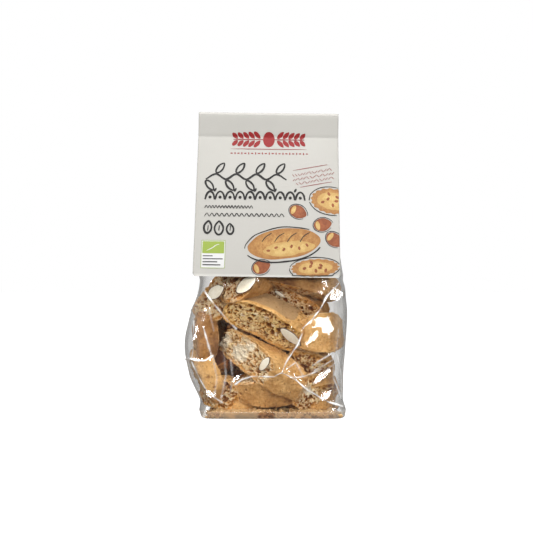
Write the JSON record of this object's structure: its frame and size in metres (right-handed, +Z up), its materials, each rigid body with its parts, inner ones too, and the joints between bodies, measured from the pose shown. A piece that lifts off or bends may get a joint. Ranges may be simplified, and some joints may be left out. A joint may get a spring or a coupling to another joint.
{
  "type": "bag of biscotti",
  "caption": "Clear block-bottom bag filled with sliced almond biscotti, closed at the top by a folded pale header card.",
  "frame": {"origin": "middle of the bounding box's footprint, on the plane that the bag stands on", "axes": "+Z up, the front of the card faces -Y, +X to the right seen from the front"},
  "size_m": [0.1176, 0.0688, 0.2116],
  "materials": {
    "clear_film": "thin clear glossy film, creased",
    "card": "uncoated off-white board",
    "biscuit_crust": "dry baked crust",
    "biscuit_crumb": "dry open crumb",
    "almond": "cut almond",
    "almond_skin": "thin brown skin",
    "print": "printed ink"
  },
  "bodies": {
    "root": {"bag": "clear_film", "bag_neck": "clear_film", "header_card": "card"}
  },
  "joints": []
}
